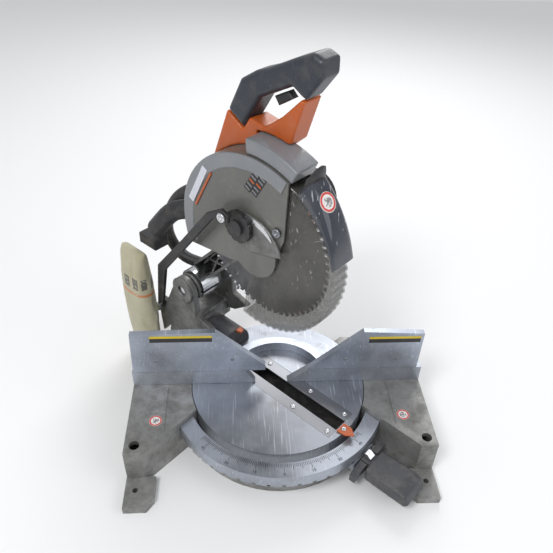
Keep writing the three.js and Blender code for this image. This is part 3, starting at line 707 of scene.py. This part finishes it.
def bolts():
    """Pan-head screws and hex bolts that the CAD leaves out, each a turned head with a hollow."""
    pan = [(0.01, 0.6), (1.6, 0.6), (1.9, 1.9), (3.2, 1.8), (4.2, 1.1), (4.4, 0.0), (0.01, 0.0)]
    places = [(-23.5, 54.5), (-23.5, 128), (23.5, 54.5), (23.5, 128), (-23.5, -40), (23.5, -40)]
    for k, (w, s) in enumerate(places):
        turned(f"plate_screw_{k}", pan, (w, s, TABLE_TOP - 0.3), UP, BRIGHT, "table", 20)
    turned("pointer_screw", pan, (-4, 147, TABLE_TOP + 2.9), UP, BRIGHT, "table", 20)
    big = [(0.01, 1.0), (3.0, 1.0), (3.4, 4.6), (6.4, 4.6), (7.6, 3.6), (7.6, 0.0), (0.01, 0.0)]
    turned("link_bolt_0", big, (-50.6, -77, 410), -ACROSS, BRIGHT, "link", 24)
    turned("guard_bolt", big, (-24.2, 6, 410), -ACROSS, DARK_STEEL, "head", 24)
    ring = [(9, 0), (24, 0), (25, 1.5), (25, 3), (22, 4.2), (18, 3), (14, 4.5), (9, 4.5), (9, 0)]
    turned("chop_boss_ring", ring, (-42.2, -190, 205), -ACROSS, ARM_CAST, "bevel_frame", 40)


def scale_marks():
    """Engraved degree marks on the ring: one bar per degree, longer each five, with plain numbers."""
    degrees = np.arange(-50, 51)
    length = np.where(degrees % 15 == 0, 13.0, np.where(degrees % 5 == 0, 10.0, 6.0))
    turn = np.radians(degrees - 90.0)
    out = np.stack([np.cos(turn), np.sin(turn), 0 * turn], -1)
    side = np.stack([-np.sin(turn), np.cos(turn), 0 * turn], -1)
    near = RING[0] + 3.0
    flat = [near * out - 0.32 * side, near * out + 0.32 * side,
            (near + length)[:, None] * out + 0.32 * side, (near + length)[:, None] * out - 0.32 * side]
    low = np.stack(flat, 1)
    low[..., 2] = RING[2] + 0.02
    high = low.copy()
    high[..., 2] = RING[2] + 0.22
    points = MM * np.concatenate([low, high], 1)
    base = np.arange(len(degrees))[:, None, None] * 8
    box = np.array([(3, 2, 1, 0), (4, 5, 6, 7), (0, 1, 5, 4), (1, 2, 6, 5), (2, 3, 7, 6), (3, 0, 4, 7)])
    made = piece("degree_marks", points, (base + box[None]).reshape(-1, 4), INK, "base", False)
    tidy_normals(made)
    for degree in range(-45, 46, 15):
        words = bpy.data.curves.new(f"degree_text_{degree}", "FONT")
        words.body = str(abs(degree))
        words.size = 7.5 * MM
        words.align_x = "CENTER"
        words.align_y = "CENTER"
        words.extrude = 0.1 * MM
        holder = bpy.data.objects.new(words.name, words)
        bpy.context.collection.objects.link(holder)
        bpy.context.view_layer.update()
        mesh = bpy.data.meshes.new_from_object(holder.evaluated_get(bpy.context.evaluated_depsgraph_get()))
        bpy.data.objects.remove(holder)
        angle = math.radians(degree)
        spot = Vector((math.sin(angle) * 179.5 * MM, -math.cos(angle) * 179.5 * MM, (RING[2] + 0.15) * MM))
        mesh.transform(Matrix.Translation(spot) @ Matrix.Rotation(angle, 4, "Z"))
        mesh.materials.append(INK)
        name = f"degree_number_{'left' if degree < 0 else 'right'}_{abs(degree)}"
        made = bpy.data.objects.new(name, mesh)
        bpy.context.collection.objects.link(made)
        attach(made, "base")


def world_box(name, low, high, material, body, bevel=0.0004):
    """A block between two corners given in millimetres in the frame."""
    (x0, y0, z0), (x1, y1, z1) = low, high
    corners = np.array([[x, y, z] for x in (x0, x1) for y in (y0, y1) for z in (z0, z1)], float) * MM
    faces = [(0, 1, 3, 2), (4, 6, 7, 5), (0, 4, 5, 1), (2, 3, 7, 6), (0, 2, 6, 4), (1, 5, 7, 3)]
    made = piece(name, corners, faces, material, body, False)
    return tidy_normals(made, bevel=bevel)


def fence_trim():
    """Label strips along the tops of the sliding fences, and small screws."""
    for side, x0, x1, z in ((-1, -214, -112, 189), (1, 150, 238, 180)):
        body = "fence_left" if side < 0 else "fence_right"
        tag = "left" if side < 0 else "right"
        world_box(f"fence_label_{tag}", (x0, -0.25, z - 9), (x1, 0.0, z), INK, body, 0.0)
        world_box(f"fence_label_edge_{tag}", (x0, -0.3, z - 0.2), (x1, 0.0, z + 4.5), YELLOW, body, 0.0)
    pan = [(0.01, 0.3), (1.4, 0.3), (1.7, 1.1), (2.6, 1.0), (3.2, 0.4), (3.3, 0.0), (0.01, 0.0)]
    for k, (x, z) in enumerate([(-209, 136), (-80, 137), (114, 133), (204, 131)]):
        s = x * math.sqrt(0.5)
        body = "fence_left" if x < 0 else "fence_right"
        turned(f"fence_screw_{k}", pan, (s, s, z), (0, -1, 0), DARK_STEEL, body, 16)


def labels():
    """Round labels: two on the wings and one on the hood."""
    for side in (-1, 1):
        centre = np.array([side * 206.0, -78.0, TABLE_TOP + 0.1]) * MM
        turn = np.linspace(0, 2 * math.pi, 40, endpoint=False)
        ring = centre + 10.5 * MM * np.stack([np.cos(turn), np.sin(turn), 0 * turn], -1)
        lift = ring + np.array([0, 0, 0.2 * MM])
        points = np.concatenate([ring, lift])
        faces = [tuple(range(39, -1, -1)), tuple(range(40, 80))]
        faces += [(i, (i + 1) % 40, (i + 1) % 40 + 40, i + 40) for i in range(40)]
        mesh = bpy.data.meshes.new(f"wing_label_{side}")
        mesh.from_pydata(points.tolist(), [], faces)
        mesh.materials.append(disc_label(centre, 10.5 * MM))
        made = bpy.data.objects.new("wing_label_" + ("left" if side < 0 else "right"), mesh)
        bpy.context.collection.objects.link(made)
        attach(made, "base")
        tidy_normals(made)
    middle = math.radians(47)
    turn = np.linspace(0, 2 * math.pi, 40, endpoint=False)
    grid_r = np.linspace(0.02, 1, 8)
    across = 14.0 * grid_r[None] * np.cos(turn)[:, None] - 2.0
    along = 14.0 * grid_r[None] * np.sin(turn)[:, None]
    angle = middle + along / 168.0
    swell = ((np.degrees(angle) - 14) / 44) ** 1.3
    crown = np.sqrt(1 - np.abs(across / 23.0) ** 5)
    radius = 149.5 + (1.5 + 20.0 * swell) * crown + 1.6
    points = place(across, ARBOR[0] + radius * np.cos(angle), ARBOR[1] + radius * np.sin(angle))
    centre = place(-2.0, ARBOR[0] + 169.0 * math.cos(middle), ARBOR[1] + 169.0 * math.sin(middle))
    label = disc_label(centre, 14 * MM)
    made = piece("hood_label", points, grid_faces(40, 8, close_rows=True), label, "head")
    tidy_normals(made, 0.2 * MM, 0.0)


def arm_ribs():
    """Cast webs that cross on the saw arm's left face between the pivot and the guard."""
    runs = (
        ((-205, 232), (-120, 322), 5), ((-176, 214), (-96, 300), 5), ((-205, 232), (-176, 214), 4),
        ((-185, 254), (-140, 256), 3.5), ((-165, 275), (-115, 280), 3.5), ((-190, 236), (-120, 322), 3.0),
        ((-150, 290), (-96, 300), 3.5), ((-172, 220), (-138, 300), 3.0),
    )
    for k, (start, end, half) in enumerate(runs):
        start, end = np.array(start, float), np.array(end, float)
        along = (end - start) / np.linalg.norm(end - start)
        side = np.array([-along[1], along[0]]) * half / 2
        corners = [start - side, end - side, end + side, start + side]
        made = flat_patch(f"arm_web_{k}", corners, -2.0 if k < 3 else 8.0, 27.0, ARM_CAST, "head")
        made.modifiers.clear()


def bag():
    """The cloth bag: the plain cushion filled out by a little pressure so that its sides sag and crease."""
    made = softened("dust_bag", CLOTH, 5.0, 3)
    cloth_mod = made.modifiers.new("cloth", "CLOTH")
    rules = cloth_mod.settings
    rules.quality = 6
    rules.mass = 0.25
    rules.tension_stiffness = 18
    rules.compression_stiffness = 6
    rules.bending_stiffness = 0.35
    rules.use_pressure = True
    rules.uniform_pressure_force = 2.2
    rules.shrink_min = -0.06
    rules.effector_weights.gravity = 0.0
    pins = made.vertex_groups.new(name="hem")
    heights = np.empty(len(made.data.vertices) * 3)
    made.data.vertices.foreach_get("co", heights)
    heights = heights.reshape(-1, 3)[:, 2]
    pins.add(np.flatnonzero(heights > heights.max() - 0.008).tolist(), 1.0, "REPLACE")
    rules.vertex_group_mass = "hem"
    cloth_mod.point_cache.frame_start = 1
    cloth_mod.point_cache.frame_end = 16
    for step in range(1, 17):
        bpy.context.scene.frame_set(step)
    shape = made.evaluated_get(bpy.context.evaluated_depsgraph_get())
    baked = bpy.data.meshes.new_from_object(shape)
    made.modifiers.clear()
    made.data = baked
    bpy.context.scene.frame_set(1)
    soft = made.modifiers.new("soft", "SUBSURF")
    soft.levels = soft.render_levels = 1


camera()
studio()
dress_frame()
saw_blade()
lower_guard()
guard_nose()
rim_band()
guard_trim()
bolts()
scale_marks()
fence_trim()
labels()
arm_ribs()
for name, material, voxel, passes in (
    ("handle_grip", RUBBER, 1.6, 14),
    ("handle_shell", ORANGE, 1.6, 6),
    ("control_arm", CHARCOAL, 1.5, 6),
    ("carry_handle", BLACK, 1.6, 6),
    ("guard_link", BLACK, 1.0, 2),
    ("bevel_arm", ARM_CAST, 1.8, 5),
    ("saw_arm", ARM_CAST, 1.8, 5),
    ("bevel_housing", CHARCOAL, 1.8, 3),
    ("dust_port", BLACK, 1.8, 4),
    ("front_cover", RIM_PAINT, 1.5, 5),
):
    softened(name, material, voxel, passes)
bag()

bpy.ops.mesh.primitive_plane_add(size=6)
floor = bpy.context.object
floor.name = "floor"
floor_maker = Maker("floor")
floor.data.materials.append(floor_maker.finish((0.88, 0.88, 0.88), 0.9))
